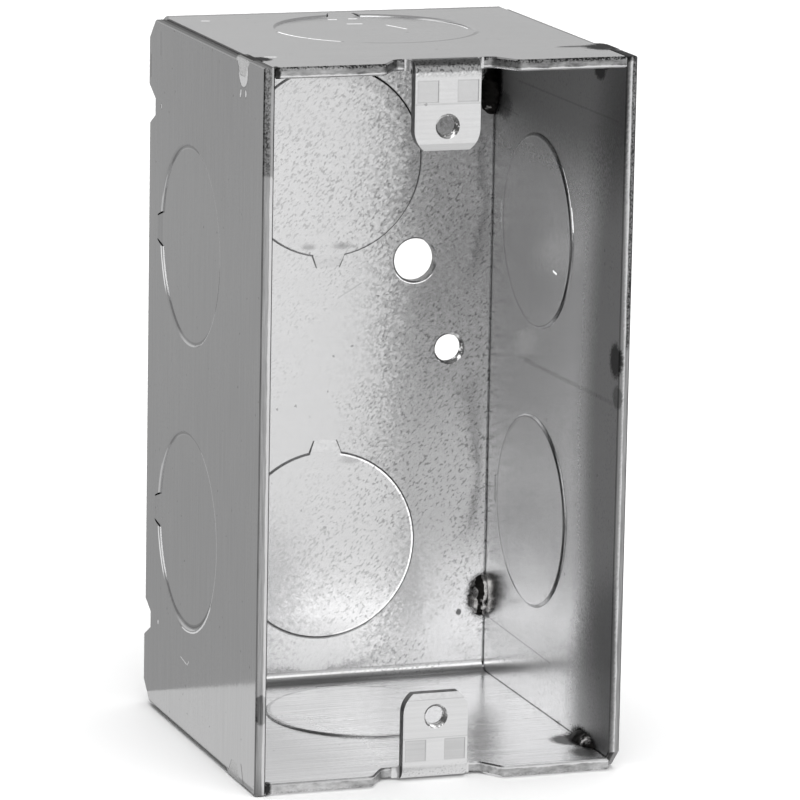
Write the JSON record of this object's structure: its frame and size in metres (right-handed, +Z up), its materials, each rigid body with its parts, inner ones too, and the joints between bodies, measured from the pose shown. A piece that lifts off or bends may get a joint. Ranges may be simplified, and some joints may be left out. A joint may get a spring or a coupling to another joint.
{
  "type": "utility box",
  "caption": "Open-front galvanized steel wiring box: a folded body with tapped device ears, welded between flat side plates, with tied round knockouts.",
  "frame": {"origin": "middle of the box's outside, on the surface that its lower end stands on", "axes": "+X across the box to the right as seen from its open front, +Y from the open front to the back, +Z up along the box's length"},
  "size_m": [0.054, 0.054, 0.1016],
  "materials": {
    "galvanized_sheet": "galvanized zinc with a fine spangle, scuffed",
    "weld_metal": "as welded, burnt dark at the edges"
  },
  "bodies": {
    "root": {"folded_body": "galvanized_sheet", "left_side_plate": "galvanized_sheet", "right_side_plate": "galvanized_sheet", "corner_welds": "weld_metal"}
  },
  "joints": []
}
